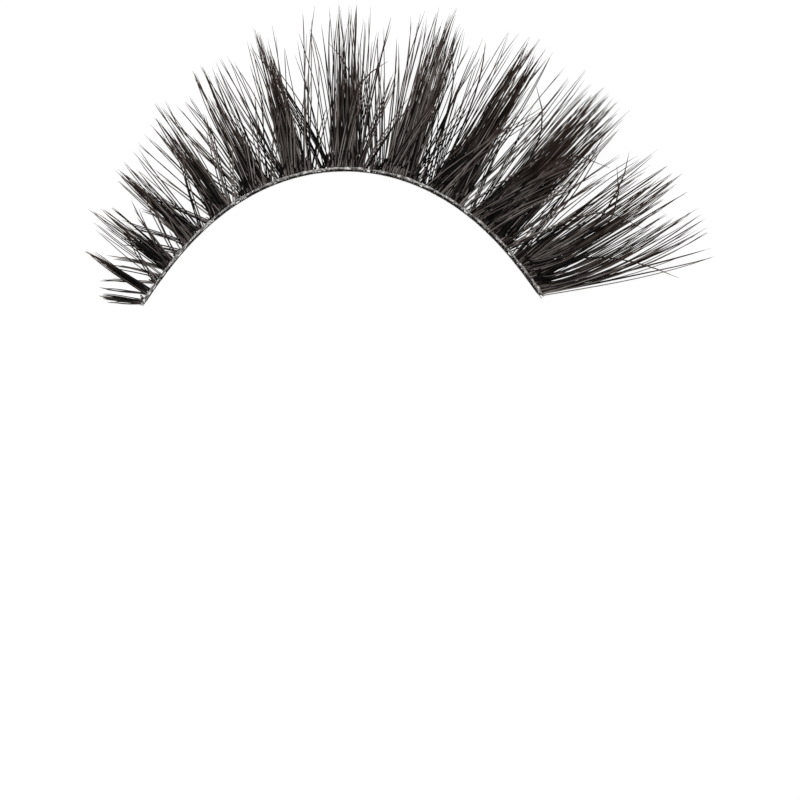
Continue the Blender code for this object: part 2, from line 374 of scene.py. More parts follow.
def make_fibre_tree():
    tree = Tree("Lash fibres")
    tree.port("Geometry", "NodeSocketGeometry")
    tree.port("Lid Arc", "NodeSocketObject")
    tree.port("Arc Start", "NodeSocketFloat", GUIDE_START)
    tree.port("Fibre Radius", "NodeSocketFloat", FIBRE_RADIUS)
    tree.port("Curl Radius", "NodeSocketFloat", CURL_RADIUS)
    tree.port("Belly", "NodeSocketFloat", BELLY)
    tree.port("Bow Share", "NodeSocketFloat", BOW_SHARE)
    tree.port("Ripple", "NodeSocketFloat", RIPPLE)
    tree.port("Seed", "NodeSocketFloat", 0.0)
    tree.port("Material", "NodeSocketMaterial")
    tree.group.interface.new_socket(name="Geometry", in_out="OUTPUT", socket_type="NodeSocketGeometry")
    given = tree.add("NodeGroupInput").outputs
    seed = given["Seed"]

    copies = tree.add(
        "GeometryNodeDuplicateElements",
        {"Geometry": given["Geometry"], "Amount": tree.column("count")},
        domain="POINT",
    )
    turn = tree.math("ADD", copies.outputs["Duplicate Index"], tree.chance(0.1, 0.9, 1, seed))
    points = tree.keep(copies.outputs[0], "side", tree.math("DIVIDE", turn, tree.column("count")))
    side = tree.column("side")
    points = tree.keep(points, "own_foot", tree.mix(tree.column("foot_a"), tree.column("foot_b"), side))
    drift = tree.mix(side, tree.chance(0.0, 1.0, 2, seed), tree.column("shuffle"))
    points = tree.keep(points, "own_tip", tree.mix(tree.column("tip_a"), tree.column("tip_b"), drift))
    reach = tree.mix(tree.column("reach_a"), tree.column("reach_b"), tree.chance(0.0, 1.0, 3, seed))
    points = tree.keep(points, "own_reach", reach)
    stray = tree.chance(-1.0, 1.0, 4, seed)
    level = tree.math("MULTIPLY_ADD", stray, tree.column("level_spread"), tree.column("level"))
    points = tree.keep(points, "own_level", level)
    points = tree.keep(points, "own_start", tree.chance(*FOOT_OUT, 5, seed))
    points = tree.keep(points, "own_phase", tree.chance(0.0, 2.0 * math.pi, 6, seed))
    points = tree.keep(points, "own_bow", tree.chance(-1.0, 1.0, 7, seed))
    # Each fibre takes a dark tint of its own dye or, as often as the row's light share says, a pale tint that
    # is a painted highlight. Highlit fibres are also a little thicker.
    dark = tree.chance(*DARK_TINTS, 8, seed)
    highlight_tint = tree.chance(*PALE_HIGHLIGHT_TINTS, 9, seed)
    has_painted_highlight = tree.math("LESS_THAN", tree.chance(0.0, 1.0, 10, seed), tree.column("light"))
    points = tree.keep(points, "tint", tree.mix(dark, highlight_tint, has_painted_highlight))
    swell = tree.math("MULTIPLY_ADD", has_painted_highlight, PALE_GIRTH, 1.0)
    thick = tree.math("MULTIPLY", tree.chance(*GIRTHS, 11, seed), swell)
    points = tree.keep(points, "thick", thick)

    line = tree.add("GeometryNodeCurvePrimitiveLine")
    line = tree.add("GeometryNodeResampleCurve", {"Curve": line.outputs[0], "Count": FIBRE_POINTS})
    lines = tree.add("GeometryNodeInstanceOnPoints", {"Points": points, "Instance": line.outputs[0]})
    lines = tree.add("GeometryNodeRealizeInstances", {"Geometry": lines.outputs[0]}).outputs[0]

    along = tree.add("GeometryNodeSplineParameter").outputs["Factor"]
    out = tree.mix(tree.column("own_start"), tree.column("own_reach"), along)
    progress = tree.math("MINIMUM", tree.math("DIVIDE", out, tree.column("reach_b")), 1.0)
    ease = tree.column("ease")
    late = tree.math("POWER", progress, ease)
    early = tree.math("POWER", tree.math("SUBTRACT", 1.0, progress), tree.math("DIVIDE", 1.0, ease))
    early = tree.math("SUBTRACT", 1.0, early)
    lean_share = tree.mix(late, early, tree.math("LESS_THAN", ease, 1.0))
    lean = tree.mix(tree.column("own_foot"), tree.column("own_tip"), lean_share)
    arch = tree.math("SINE", tree.math("MULTIPLY", along, math.pi))
    bow = tree.math("MULTIPLY", tree.column("own_reach"), given["Bow Share"])
    bow = tree.math("MULTIPLY", tree.column("own_bow"), bow)
    lean = tree.math("MULTIPLY_ADD", arch, bow, lean)
    ripple = tree.math("SINE", tree.math("MULTIPLY_ADD", along, RIPPLE_TURN, tree.column("own_phase")))
    lean = tree.math("MULTIPLY_ADD", tree.math("MULTIPLY", ripple, along), given["Ripple"], lean)
    settle = tree.add(
        "ShaderNodeMapRange",
        {"Value": out, "From Min": SETTLING[0], "From Max": SETTLING[1], "To Min": 0.0, "To Max": 1.0},
        interpolation_type="SMOOTHSTEP",
    )
    height = tree.mix(ROOT_Z, tree.column("own_level"), settle.outputs[0])
    rise = tree.math("MAXIMUM", tree.math("SUBTRACT", out, given["Belly"]), 0.0)
    curl_width = tree.math("MULTIPLY", given["Curl Radius"], 2.0)
    curl = tree.math("DIVIDE", tree.math("MULTIPLY", rise, rise), curl_width)
    height = tree.math("ADD", height, curl)

    arc = tree.add("GeometryNodeObjectInfo", {"Object": given["Lid Arc"]})
    sample = tree.add(
        "GeometryNodeSampleCurve",
        {"Curves": arc.outputs["Geometry"], "Length": tree.math("SUBTRACT", lean, given["Arc Start"])},
        mode="LENGTH",
    )
    shift = tree.scaled(tree.outward(sample.outputs["Tangent"]), out)
    spot = tree.lifted(tree.joined(sample.outputs["Position"], shift), height)
    lines = tree.keep(lines, "along", along)
    long_share = tree.math("MINIMUM", tree.math("DIVIDE", tree.column("own_reach"), LONG_FIBRE), 1.0)
    lines = tree.keep(lines, "browning", tree.math("MULTIPLY", along, long_share))
    placed = tree.add("GeometryNodeSetPosition", {"Geometry": lines, "Position": spot})

    slim = tree.math("MULTIPLY_ADD", tree.math("POWER", tree.column("along"), 2.0), -TIP_SLIMMING, 1.0)
    to_go = tree.math("SUBTRACT", 1.0, tree.column("along"))
    point = tree.math("MULTIPLY_ADD", to_go, POINT_STEEPNESS, POINT_GIRTH)
    taper = tree.math("MULTIPLY", slim, tree.math("MINIMUM", point, 1.0))
    girth = tree.math("MULTIPLY", taper, tree.math("MULTIPLY", tree.column("thick"), tree.column("weight")))
    girth = tree.math("MULTIPLY", girth, given["Fibre Radius"])
    profile = tree.add("GeometryNodeCurvePrimitiveCircle", {"Resolution": FIBRE_SIDES, "Radius": 1.0})
    skin = tree.add(
        "GeometryNodeCurveToMesh",
        {"Curve": placed.outputs[0], "Profile Curve": profile.outputs[0], "Scale": girth, "Fill Caps": True},
    )
    tree.close(skin.outputs[0], given["Material"])
    return tree


fibre_tree = make_fibre_tree()
print("fibre tree:", len(fibre_tree.group.nodes), "nodes")

# %% [markdown]
# ## The chart
# The strip reads like music: eleven spikes, each with a dark core and eight or so fine tips, and
# between them hairs that cross like a lattice and leave diamonds of light. Every row below is a
# bundle: where its feet stand on the band, where its tips end, and how far out they reach, in
# millimetres. Its fibres are shared out evenly from the first foot to the last. An ease below 1 leans
# early and then straightens, one above 1 bends late. The shuffle mixes up the order of the tips.

# %% Cores, and short hairs that close them
# Cluster, feet from and to, tips from and to, reach from and to, ease, shuffle, count.
CORES = (
    (1, -16.85, -16.48, -18.30, -17.85, 2.3, 3.1, 0.95, 0.3, 15),
    (2, -16.17, -15.74, -16.17, -15.98, 3.0, 4.9, 1.2, 0.2, 24),
    (3, -15.35, -14.60, -15.30, -14.70, 0.5, 1.2, 1.0, 0.7, 9),
    (4, -14.20, -13.25, -14.10, -13.30, 2.2, 5.2, 1.0, 0.3, 34),
    (5, -11.78, -10.78, -11.72, -11.00, 2.6, 6.4, 1.0, 0.3, 46),
    (6, -9.40, -8.10, -8.95, -8.08, 2.6, 7.0, 1.0, 0.3, 52),
    (7, -6.55, -5.20, -6.40, -5.50, 2.8, 7.4, 1.0, 0.3, 56),
    (8, -3.80, -2.45, -3.60, -2.72, 3.6, 8.8, 1.0, 0.3, 66),
    (9, -0.90, 1.00, -0.60, 0.72, 3.8, 9.6, 1.0, 0.3, 82),
    (10, 2.60, 4.55, 3.00, 4.45, 4.0, 10.4, 1.0, 0.3, 92),
    (11, 6.00, 8.10, 6.30, 7.85, 4.2, 11.0, 1.0, 0.3, 98),
    (12, 9.15, 12.00, 9.55, 11.75, 4.4, 11.4, 1.0, 0.3, 138),
    (13, 13.05, 13.75, 13.55, 14.10, 4.0, 10.5, 0.8, 0.4, 14),
    (13, 13.30, 13.95, 14.45, 14.70, 3.5, 11.5, 0.35, 0.3, 24),
    (13, 13.75, 14.50, 15.00, 15.40, 3.5, 11.5, 0.33, 0.3, 34),
    (13, 14.40, 14.95, 15.85, 16.10, 2.5, 10.5, 0.32, 0.3, 18),
    (13, 14.90, 15.20, 16.50, 16.75, 3.0, 10.5, 0.32, 0.3, 20),
    (13, 15.35, 15.65, 17.25, 17.45, 2.5, 11.5, 0.34, 0.3, 20),
    (13, 15.65, 16.05, 18.00, 18.60, 3.5, 11.5, 0.48, 0.3, 14),
)
print("cores:", len(CORES), "fibres in them:", sum(row[-1] for row in CORES))

# %% Tips
# Cluster, tip, reach, count, and how far its feet are from it along the band.
TIPS = (
    (2, -16.10, 5.45, 4, 0.00), (2, -15.85, 5.15, 2, 0.04),
    (3, -14.70, 5.65, 2, -0.18), (3, -14.45, 6.05, 2, -0.08),
    (4, -14.30, 5.20, 2, 0.10), (4, -14.00, 6.85, 5, 0.05), (4, -13.60, 6.15, 5, -0.05),
    (4, -13.20, 5.65, 4, -0.15),
    (5, -11.90, 6.95, 2, 0.05), (5, -11.60, 7.10, 5, 0.00), (5, -11.45, 7.05, 5, 0.05),
    (5, -11.00, 7.35, 4, -0.35), (5, -10.80, 6.15, 4, -0.10), (5, -10.35, 7.15, 2, -0.50),
    (5, -10.10, 7.20, 2, -0.50),
    (6, -9.95, 7.55, 2, 0.80), (6, -9.40, 7.60, 3, 0.50), (6, -8.90, 7.80, 3, 0.05),
    (6, -8.55, 8.15, 7, -0.10), (6, -8.20, 8.65, 4, -0.20), (6, -8.05, 8.55, 3, -0.20),
    (6, -7.77, 8.50, 3, -0.45),
    (7, -7.50, 7.80, 2, 0.90), (7, -7.10, 8.15, 3, 0.60), (7, -6.80, 8.10, 3, 0.40),
    (7, -6.16, 9.40, 7, 0.00), (7, -5.76, 9.40, 7, 0.00), (7, -5.42, 8.60, 3, -0.05),
    (7, -5.35, 9.25, 2, -0.05), (7, -5.19, 9.20, 2, -0.10),
    (8, -4.70, 9.35, 2, 0.50), (8, -4.50, 8.95, 2, 0.60), (8, -3.95, 8.20, 2, 0.30),
    (8, -3.68, 9.90, 4, 0.15), (8, -3.35, 10.45, 6, 0.10), (8, -3.20, 10.35, 5, 0.10),
    (8, -3.00, 9.60, 6, 0.05), (8, -2.65, 10.45, 2, -0.15), (8, -2.35, 9.45, 2, -0.30),
    (8, -1.50, 10.80, 2, -0.90), (8, -1.07, 11.10, 2, -1.20),
    (9, -1.30, 9.70, 3, 0.60), (9, -0.90, 10.50, 2, 0.30), (9, -0.53, 11.20, 3, 0.00),
    (9, -0.18, 11.55, 6, 0.00), (9, 0.20, 11.35, 6, 0.00), (9, 0.45, 11.25, 5, 0.00),
    (9, 0.75, 10.30, 3, -0.05), (9, 0.90, 11.10, 2, -0.15), (9, 1.30, 10.20, 2, -0.40),
    (9, 1.75, 11.20, 2, -0.80),
    (10, 2.45, 11.00, 2, 0.30), (10, 2.70, 11.60, 2, 0.15), (10, 2.87, 11.50, 2, 0.05),
    (10, 3.02, 10.95, 3, 0.05), (10, 3.31, 12.05, 4, 0.10), (10, 3.55, 11.20, 6, 0.00),
    (10, 3.75, 11.80, 8, 0.00), (10, 3.90, 12.15, 6, 0.00), (10, 4.15, 11.30, 7, 0.00),
    (10, 4.32, 11.40, 4, 0.00), (10, 4.46, 10.90, 2, 0.00), (10, 4.80, 10.75, 2, -0.30),
    (10, 5.10, 10.15, 2, -0.45),
    (11, 5.33, 10.60, 2, 0.50), (11, 5.95, 12.30, 3, 0.10), (11, 6.30, 12.15, 3, 0.00),
    (11, 6.70, 12.25, 8, 0.00), (11, 6.85, 11.60, 7, 0.00), (11, 7.02, 12.55, 9, 0.00),
    (11, 7.20, 11.60, 7, 0.00), (11, 7.40, 12.35, 6, 0.00), (11, 7.66, 12.65, 4, 0.00),
    (11, 8.42, 12.75, 2, -0.30), (11, 8.77, 12.20, 2, -0.70),
    (12, 9.08, 12.60, 3, 0.30), (12, 9.25, 12.00, 2, 0.20), (12, 9.60, 12.10, 6, 0.10),
    (12, 9.85, 11.60, 6, 0.00), (12, 10.05, 12.80, 8, 0.00), (12, 10.35, 12.65, 9, 0.00),
    (12, 10.60, 12.30, 7, 0.00), (12, 10.80, 12.60, 7, 0.00), (12, 11.10, 12.25, 6, 0.00),
    (12, 11.25, 11.40, 5, 0.00), (12, 11.45, 12.60, 3, 0.00), (12, 11.66, 11.90, 3, 0.00),
    (12, 12.60, 10.50, 2, -0.40),
    (13, 13.30, 11.25, 2, 0.00), (13, 13.52, 12.45, 3, 0.00), (13, 13.90, 11.55, 4, -0.20),
    (13, 14.35, 12.15, 4, -0.50), (13, 14.60, 11.40, 5, -0.60), (13, 14.80, 12.40, 6, -0.70),
    (13, 15.08, 12.55, 7, -0.60), (13, 15.35, 11.90, 6, -0.70), (13, 15.60, 11.00, 4, -0.80),
    (13, 16.02, 12.10, 4, -0.90), (13, 16.40, 10.60, 4, -1.20), (13, 16.90, 10.85, 5, -1.40),
    (13, 17.22, 12.15, 6, -1.60), (13, 17.70, 12.05, 4, -2.00), (13, 18.10, 12.20, 3, -2.30),
    (13, 18.68, 12.00, 4, -2.80), (13, 18.95, 12.15, 3, -3.00), (13, 19.60, 10.40, 2, -3.60),
    (13, 19.95, 11.35, 2, -3.90), (13, 20.55, 11.25, 3, -4.50),
)
print("tips:", len(TIPS), "fibres in them:", sum(row[3] for row in TIPS))

# %% The lattice
# Cluster, layer, feet from and to, tips from and to, reach from and to, ease, count. Hairs that lean
# to the inner corner run under the cores, and those that lean outwards run over them.
LATTICE = (
    (2, "low", -16.12, -15.95, -17.45, -17.28, 2.6, 3.5, 1.00, 5),
    (3, "low", -15.20, -15.00, -16.80, -16.58, 2.9, 3.5, 0.95, 5),
    (3, "low", -14.75, -14.50, -15.88, -15.50, 2.7, 3.6, 0.90, 6),
    (3, "high", -15.45, -15.20, -14.20, -13.95, 2.7, 3.9, 0.80, 5),
    (4, "low", -14.10, -13.80, -15.45, -15.10, 3.0, 4.1, 0.90, 6),
    (4, "high", -14.00, -13.75, -12.60, -12.25, 4.0, 5.1, 0.85, 4),
    (4, "high", -13.60, -13.35, -12.90, -12.60, 3.2, 4.4, 0.80, 4),
    (4, "high", -13.20, -12.92, -11.75, -11.50, 4.2, 5.6, 0.60, 5),
    (5, "low", -12.70, -12.30, -14.40, -13.90, 2.8, 4.2, 0.80, 7),
    (5, "low", -12.05, -11.60, -13.45, -12.90, 3.4, 4.7, 0.80, 6),
    (5, "low", -10.95, -10.75, -12.30, -12.00, 3.6, 4.9, 0.90, 4),
    (5, "high", -12.70, -12.00, -11.95, -11.40, 1.6, 3.0, 0.80, 5),
    (5, "high", -10.80, -10.35, -9.20, -8.80, 4.2, 5.6, 0.60, 7),
    (6, "low", -9.98, -9.60, -11.20, -10.75, 3.4, 5.0, 0.50, 8),
    (6, "low", -9.50, -9.15, -10.25, -9.85, 4.2, 5.4, 0.60, 5),
    (6, "high", -8.35, -7.95, -7.10, -6.75, 4.4, 6.6, 0.60, 6),
    (6, "high", -7.95, -7.62, -6.50, -6.20, 2.8, 4.6, 0.60, 5),
    (7, "low", -7.35, -7.00, -8.60, -8.15, 3.4, 5.8, 0.60, 6),
    (7, "low", -6.90, -6.45, -7.95, -7.45, 4.6, 7.6, 0.55, 6),
    (7, "high", -5.60, -5.20, -4.50, -4.05, 4.2, 6.8, 0.55, 6),
    (7, "high", -5.15, -4.85, -3.80, -3.40, 3.2, 5.4, 0.55, 5),
    (8, "low", -4.55, -4.20, -5.70, -5.25, 4.0, 7.0, 0.55, 6),
    (8, "low", -4.10, -3.75, -5.10, -4.65, 4.6, 8.4, 0.55, 6),
    (8, "high", -2.90, -2.45, -1.75, -1.25, 5.0, 8.4, 0.80, 6),
    (8, "high", -2.40, -1.95, -1.05, -0.75, 3.0, 5.4, 0.80, 5),
    (9, "low", -1.55, -1.30, -2.95, -2.60, 4.4, 6.6, 0.70, 9),
    (9, "low", -1.05, -0.70, -3.10, -2.75, 6.8, 9.2, 0.75, 9),
    (9, "high", 0.70, 1.05, 1.80, 2.15, 4.6, 7.6, 0.55, 8),
    (9, "high", 1.10, 1.42, 2.60, 2.95, 3.4, 5.8, 0.60, 8),
    (10, "low", 1.70, 2.10, 0.75, 1.15, 4.6, 8.0, 0.55, 9),
    (10, "low", 2.15, 2.60, 1.35, 1.75, 5.4, 9.4, 0.50, 9),
    (10, "low", 2.50, 2.80, 2.05, 2.35, 7.4, 10.0, 0.80, 6),
    (10, "high", 4.25, 4.65, 5.35, 5.85, 4.4, 7.4, 0.50, 7),
    (10, "high", 4.70, 5.12, 6.15, 6.60, 3.6, 6.0, 0.50, 6),
    (11, "low", 5.32, 5.70, 4.15, 4.60, 4.8, 7.6, 0.50, 7),
    (11, "low", 5.75, 6.10, 4.95, 5.45, 4.8, 8.8, 0.45, 6),
    (11, "high", 7.80, 8.15, 8.70, 9.15, 5.6, 9.2, 0.60, 6),
    (11, "high", 8.25, 8.62, 9.60, 10.00, 3.6, 6.4, 0.60, 5),
    (12, "low", 8.85, 9.15, 7.70, 8.15, 4.4, 8.0, 0.50, 6),
    (12, "low", 9.20, 9.50, 8.40, 8.80, 5.0, 8.6, 0.50, 5),
    (12, "high", 11.70, 12.10, 12.45, 12.85, 5.0, 8.6, 0.60, 6),
    (12, "high", 12.15, 12.60, 13.55, 14.05, 4.0, 6.8, 0.80, 8),
    (13, "low", 13.05, 13.40, 11.55, 11.95, 8.8, 10.9, 0.85, 8),
    (13, "low", 12.88, 13.15, 11.95, 12.30, 4.6, 8.0, 0.70, 5),
)
print("lattice rows:", len(LATTICE))

# %% Long hairs across the faces of the spikes, and strays
# Cluster, layer, then the columns of the cores. A row with one fibre is a stray.
FACES = (
    (7, "high", -6.50, -6.10, -5.40, -4.90, 3.0, 5.0, 0.70, 0.2, 6),
    (8, "high", -3.60, -3.20, -2.70, -2.30, 3.6, 6.0, 0.75, 0.2, 6),
    (9, "high", -0.60, 0.10, 0.60, 1.20, 3.6, 7.0, 0.80, 0.3, 9),
    (10, "high", 2.60, 3.30, 4.20, 4.80, 4.0, 7.5, 0.75, 0.3, 10),
    (11, "high", 5.40, 5.90, 8.70, 9.10, 8.2, 9.3, 0.85, 0.2, 3),
    (11, "high", 6.00, 6.80, 7.60, 8.30, 4.0, 8.5, 0.75, 0.3, 10),
    (12, "high", 9.00, 9.60, 11.20, 12.20, 6.0, 9.8, 0.85, 0.3, 10),
    (12, "high", 9.80, 10.80, 12.00, 12.70, 4.5, 8.0, 0.80, 0.3, 8),
    (13, "high", 13.10, 14.20, 14.90, 15.60, 2.5, 6.0, 0.35, 0.3, 6),
    (13, "high", 14.20, 15.20, 16.20, 17.20, 2.5, 6.5, 0.35, 0.3, 5),
    (10, "high", 5.10, 5.20, 3.90, 4.00, 9.5, 9.6, 4.00, 0.0, 1),
    (11, "high", 6.00, 6.10, 5.25, 5.35, 10.5, 10.6, 3.50, 0.0, 1),
    (12, "high", 9.60, 9.70, 7.80, 7.90, 9.7, 9.8, 5.00, 0.0, 1),
    (12, "high", 10.30, 10.40, 12.80, 12.90, 8.9, 9.0, 8.00, 0.0, 1),
    (13, "high", 13.80, 13.90, 16.50, 16.60, 8.3, 8.4, 7.00, 0.0, 1),
    (13, "high", 15.00, 15.10, 20.40, 20.50, 8.4, 8.5, 2.60, 0.0, 1),
    (13, "high", 15.20, 15.30, 12.60, 12.70, 10.6, 10.7, 3.00, 0.0, 1),
    (13, "high", 15.10, 15.20, 12.70, 12.80, 9.4, 9.5, 5.00, 0.0, 1),
    (9, "high", 0.20, 0.30, 1.75, 1.85, 7.5, 7.6, 4.00, 0.0, 1),
    (9, "high", 0.60, 0.70, -0.75, -0.65, 8.6, 8.7, 4.00, 0.0, 1),
)
print("face rows:", len(FACES), "strays among them:", sum(row[-1] == 1 for row in FACES))

# %% [markdown]
# Three more sets follow a rule and need no chart. Along each knot, short fibres lean both ways: they
# are the butts and broken ends of its fibres, and they close the foot of every cluster. Behind each
# core lies a black lining, as the fibres deep in a lock get no light. And a few tall hairs on each
# side of a spike leave it for its neighbour's space. The cores of the middle spikes flare at the
# foot, where the real fibres are spread to be glued.

# %% Levels, light shares and knots
# Each layer's height above the band's foot and its spread, in millimetres.
LEVELS = {"low": (0.10, 0.05), "middle": (0.36, 0.22), "high": (0.66, 0.08)}
# The share of fibres in each layer that carry a painted highlight, most in the top layer, where the light
# falls.
HIGHLIGHT_SHARES = {"low": 0.25, "middle": 0.42, "high": 0.60}
KNOTS = {
    1: (-16.90, -16.32), 2: (-16.18, -15.62), 3: (-15.48, -14.45), 4: (-14.30, -12.90), 5: (-12.76, -10.15),
    6: (-10.01, -7.55), 7: (-7.41, -4.75), 8: (-4.61, -1.75), 9: (-1.61, 1.45), 10: (1.59, 5.15),
    11: (5.29, 8.65), 12: (8.79, 12.70), 13: (12.84, 16.15),
}
FAN = 13


def chart_row(layer, feet, tips, reach, ease, shuffle, count, weight=1.0, light=None):
    level, level_spread = LEVELS[layer]
    sizes = [v * MM for v in (*feet, *tips, *reach)]
    light = HIGHLIGHT_SHARES[layer] if light is None else light
    return (*sizes, ease, shuffle, count, level * MM, level_spread * MM, light, weight)


print("knots:", len(KNOTS))

# %% Rows of the lattice, the faces and the cores
LATTICE_FULLNESS = 0.62
LATTICE_LEAN = 1.3
LATTICE_EASE = 0.2
LATTICE_SHUFFLE = 0.05
LATTICE_WEIGHT = 1.2
# Each number named LIGHT below is the share of fibres in those rows that carry a painted highlight.
LATTICE_LIGHT = 0.4
SHORT_LATTICE_LIGHT = 0.75
SHORT_SPIKES = range(1, 8)
FACE_FULLNESS = 1.3
FACE_WEIGHT = 0.95
FACE_LIGHT = 0.65
STRAY_WEIGHT = 1.6
STRAY_LIGHT = 0.1
CORE_LIGHTS = {5: 0.5, 9: 0.48, FAN: 0.55}
CORE_LIGHT = 0.33
FLARED = range(5, 13)
FOOT_FLARE = 0.30
FLARE_EASE = 0.35
LINING_FULLNESS = 0.3
LINING_WEIGHT = 1.3


def lattice_rows(number):
    for owner, layer, *sizes, ease, count in LATTICE:
        if owner == number:
            feet, tips, reach = sizes[0:2], sizes[2:4], sizes[4:6]
            tips = [foot + LATTICE_LEAN * (tip - foot) for foot, tip in zip(feet, tips)]
            count = round(LATTICE_FULLNESS * count)
            ease = min(ease + LATTICE_EASE, 1.0)
            light = SHORT_LATTICE_LIGHT if number in SHORT_SPIKES else LATTICE_LIGHT
            yield chart_row(layer, feet, tips, reach, ease, LATTICE_SHUFFLE, count, LATTICE_WEIGHT, light)


def face_rows(number):
    for owner, layer, *sizes, ease, shuffle, count in FACES:
        if owner == number:
            weight, light = (STRAY_WEIGHT, STRAY_LIGHT) if count == 1 else (FACE_WEIGHT, FACE_LIGHT)
            count = 1 if count == 1 else round(FACE_FULLNESS * count)
            feet, tips, reach = sizes[0:2], sizes[2:4], sizes[4:6]
            yield chart_row(layer, feet, tips, reach, ease, shuffle, count, weight, light)


def core_rows(number):
    """The core, and the black lining behind it, which the open fan does without."""
    for owner, *sizes, ease, shuffle, count in CORES:
        if owner == number:
            feet, tips, reach = sizes[0:2], sizes[2:4], sizes[4:6]
            spread = feet
            if number in FLARED:
                spread = (feet[0] - FOOT_FLARE, feet[1] + FOOT_FLARE)
                ease = FLARE_EASE
            light = CORE_LIGHTS.get(number, CORE_LIGHT)
            yield chart_row("middle", spread, tips, reach, ease, shuffle, count, 1.0, light)
            if number < FAN:
                depth = (0.7 * reach[0], 0.45 * (reach[0] + reach[1]))
                count = round(LINING_FULLNESS * count)
                yield chart_row("low", feet, tips, depth, ease, 0.2, count, LINING_WEIGHT, 0.0)


print("rows of the longest spike:", [len(list(rows(12))) for rows in (lattice_rows, face_rows, core_rows)])

# %% Rows of the gaps, the tips and the roots
GAP_HAIRS = 3
TIP_SPREAD = 0.045
FAN_FULLNESS = 0.9
ROOTS_PER_MM = 14
ROOT_OVERLAP = 0.3
THIN_ROOTED = range(1, 7)
THIN_ROOTS = 0.5, (0.30, 0.65)
FULL_ROOTS = 1.0, (0.60, 1.35)


def gap_rows(number):
    """A few tall hairs on each side that leave the spike for its neighbour's space."""
    if 7 <= number <= 12:
        start, end = KNOTS[number]
        top = max(row[2] for row in TIPS if row[0] == number)
        reach = (0.55 * top, 0.90 * top)
        inner = ("low", (start + 0.1, start + 0.7), (start - 0.9, start + 0.1))
        outer = ("high", (end - 0.7, end - 0.1), (end - 0.1, end + 0.9))
        for layer, feet, tips in (inner, outer):
            yield chart_row(layer, feet, tips, reach, 0.7, 0.6, GAP_HAIRS)


def tip_rows(number):
    """The feet of a tip's fibres stand apart, and its tips end together. The fan's bend early."""
    for owner, tip, reach, count, offset in TIPS:
        if owner == number:
            foot = tip + offset
            spread = TIP_SPREAD * count
            feet = (foot - spread, foot + spread)
            ease = 1.1
            if number == FAN and offset < -0.4:
                ease = 0.36 if offset > -2.5 else 0.5 if offset > -3.2 else 0.9
                count = max(2, round(FAN_FULLNESS * count))
            yield chart_row("middle", feet, (tip - 0.05, tip + 0.05), (0.90 * reach, reach), ease, 0.3, count)


def root_rows(number):
    """Short fibres that lean both ways over the knot, and taller ones over the foot of its core."""
    start, end = KNOTS[number]
    low, high = (start, end - ROOT_OVERLAP), (start + ROOT_OVERLAP, end)
    fullness, reach = THIN_ROOTS if number in THIN_ROOTED else FULL_ROOTS
    count = round(ROOTS_PER_MM * (end - start) * fullness)
    # The last number of each row is its share of fibres with a painted highlight.
    yield chart_row("high", low, high, reach, 1.0, 0.3, count, 1.2, 0.08)
    yield chart_row("middle", high, low, reach, 1.0, 0.3, count, 1.1, 0.15)
    for owner, foot_a, foot_b, *_ in CORES:
        if owner == number and number > 3:
            count = round(ROOTS_PER_MM * (foot_b - foot_a))
            feet = (foot_a, foot_b)
            light = 0.15 if number < FAN else 0.42
            for tips in ((foot_a + 0.2, foot_b + 0.3), (foot_a - 0.3, foot_b - 0.2)):
                yield chart_row("middle", feet, tips, (0.6, 1.6), 1.0, 0.4, count, 1.1, light)


def cluster_rows(number):
    makers = (root_rows, lattice_rows, face_rows, core_rows, gap_rows, tip_rows)
    return [row for rows in makers for row in rows(number)]


print("fibres:", sum(row[COLUMNS.index("count")] for n in KNOTS for row in cluster_rows(n)))

# %% Grow the clusters
def grow_cluster(number):
    """A cluster's fibres as one mesh, which stands for the cluster's solid."""
    rows = cluster_rows(number)
    mesh = bpy.data.meshes.new(f"chart_{number:02d}")
    mesh.from_pydata([(0.0, 0.0, 0.0)] * len(rows), [], [])
    for column, name in enumerate(COLUMNS):
        values = mesh.attributes.new(name, "FLOAT", "POINT").data
        for value, row in zip(values, rows):
            value.value = row[column]
    chart = bpy.data.objects.new(f"chart_{number:02d}", mesh)
    bpy.context.scene.collection.objects.link(chart)
    give_nodes(chart, fibre_tree, {"Lid Arc": guide, "Seed": 20.0 * number, "Material": fibre_material})
    lashes = plain_mesh(chart, f"lashes_{number:02d}")
    for spare in [a.name for a in lashes.data.attributes]:
        if spare in COLUMNS or spare.startswith("own_") or spare in ("side", "thick", "along"):
            lashes.data.attributes.remove(lashes.data.attributes[spare])
    node = f"lash_cluster_{number:02d}"
    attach(lashes, "root")
    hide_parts(node)
    return lashes


clusters = [grow_cluster(number) for number in KNOTS]
for lashes in clusters:
    print(lashes.name, "faces:", len(lashes.data.polygons))

# %% [markdown]
# ## The clear band
# On the real strip the fibres' feet are glued along a clear plastic thread. It isn't even: the glue
# swells and thins, and a dark line shows through where the fibre ends lie. A curve with a bevel
# could make it, but its section would be the same all along. Here one tree sweeps a rounded
# rectangle along the arc while a noise swells it, and it serves three times: for the clear plastic,
# for the dark line in it, and for the milky glue on top.

# %% A sweep that swells
BAND_RINGS = 420
END_SHARE = 0.018
END_GIRTH = 0.45
LEAST_GIRTH = 0.08
ROUNDING = 0.42


